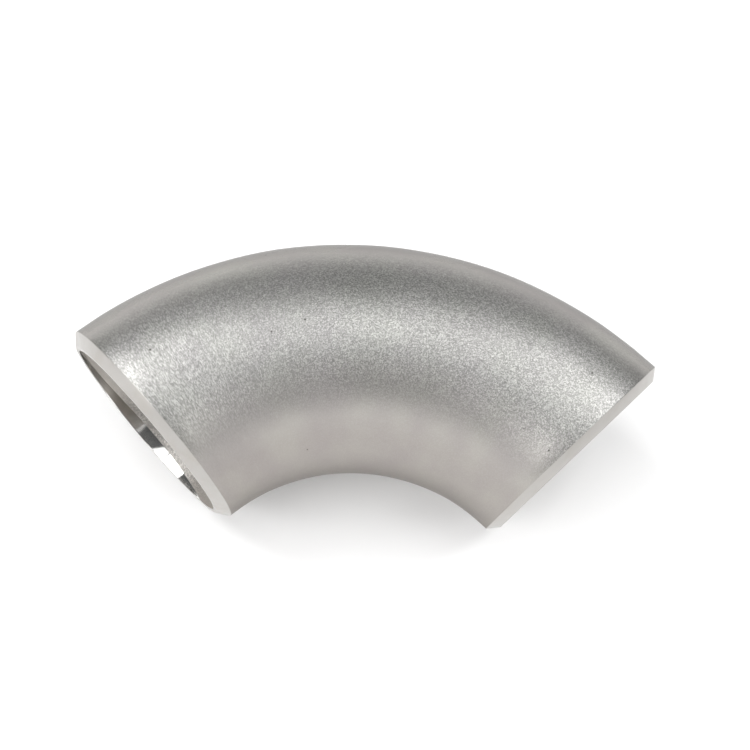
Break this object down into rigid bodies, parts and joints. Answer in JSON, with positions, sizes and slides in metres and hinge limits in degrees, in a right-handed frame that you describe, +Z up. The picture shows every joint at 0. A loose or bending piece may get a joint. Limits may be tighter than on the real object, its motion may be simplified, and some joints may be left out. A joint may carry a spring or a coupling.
{
  "type": "butt-weld pipe elbow",
  "caption": "Long-radius 90 degree butt-weld pipe elbow in stainless steel, seamless, with bevelled ends, lying on its side.",
  "frame": {"origin": "centre of end A's weld face, on the bore's centreline", "axes": "the bend lies flat in the XY plane with +Z up; the bore leaves end A along +X and turns to leave end B along +Y, so end A opens towards -X and end B towards +Y"},
  "size_m": [0.1315, 0.1315, 0.073],
  "materials": {
    "blasted_stainless": "satin"
  },
  "bodies": {
    "root": {"elbow_body": "blasted_stainless"}
  },
  "joints": []
}
